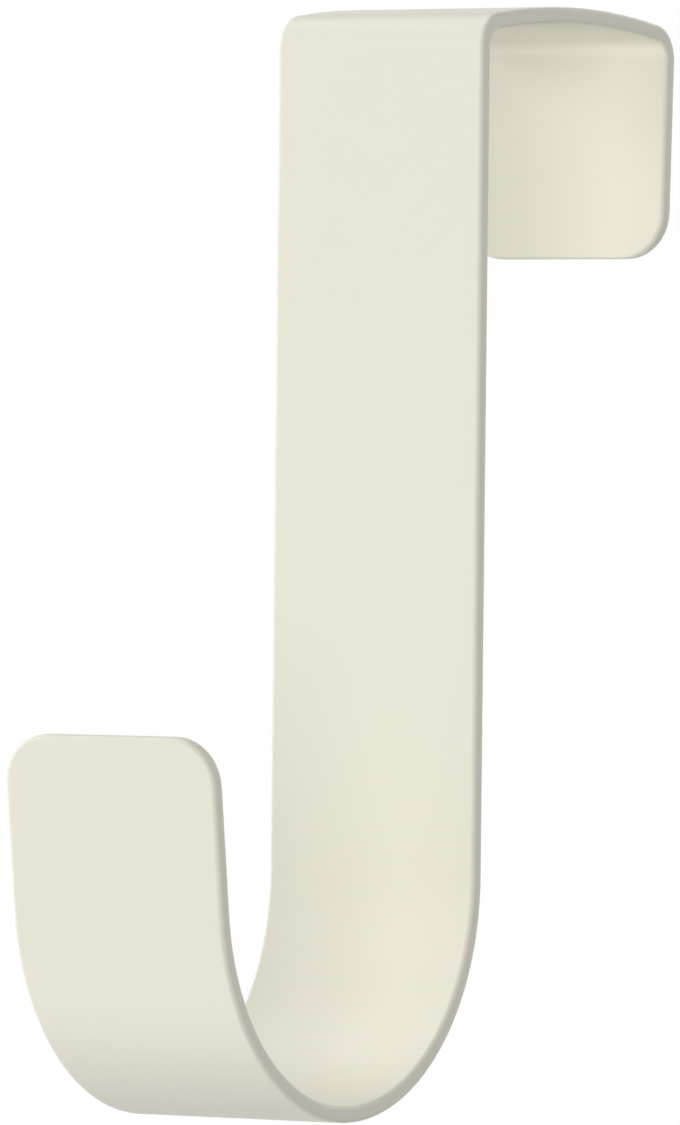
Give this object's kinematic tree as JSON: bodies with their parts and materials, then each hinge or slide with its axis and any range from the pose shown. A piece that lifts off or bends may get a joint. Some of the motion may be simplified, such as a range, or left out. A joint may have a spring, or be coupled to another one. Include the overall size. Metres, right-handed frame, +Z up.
{
  "type": "over door hook",
  "caption": "Flat steel strip bent into a wide J cradle below and a crowned channel with a short tab above, painted cream, to hang over the top of a door and hold coats, towels or bags.",
  "frame": {"origin": "where the door's top edge meets its front face, at the middle of the strip's width", "axes": "+X across the strip, -Y out from the door into the room, +Y through the door to the tab, +Z up"},
  "size_m": [0.0254, 0.0877, 0.1153],
  "materials": {
    "cream_paint": "smooth satin cream enamel over steel"
  },
  "bodies": {
    "root": {"hook_strip": "cream_paint"}
  },
  "joints": []
}
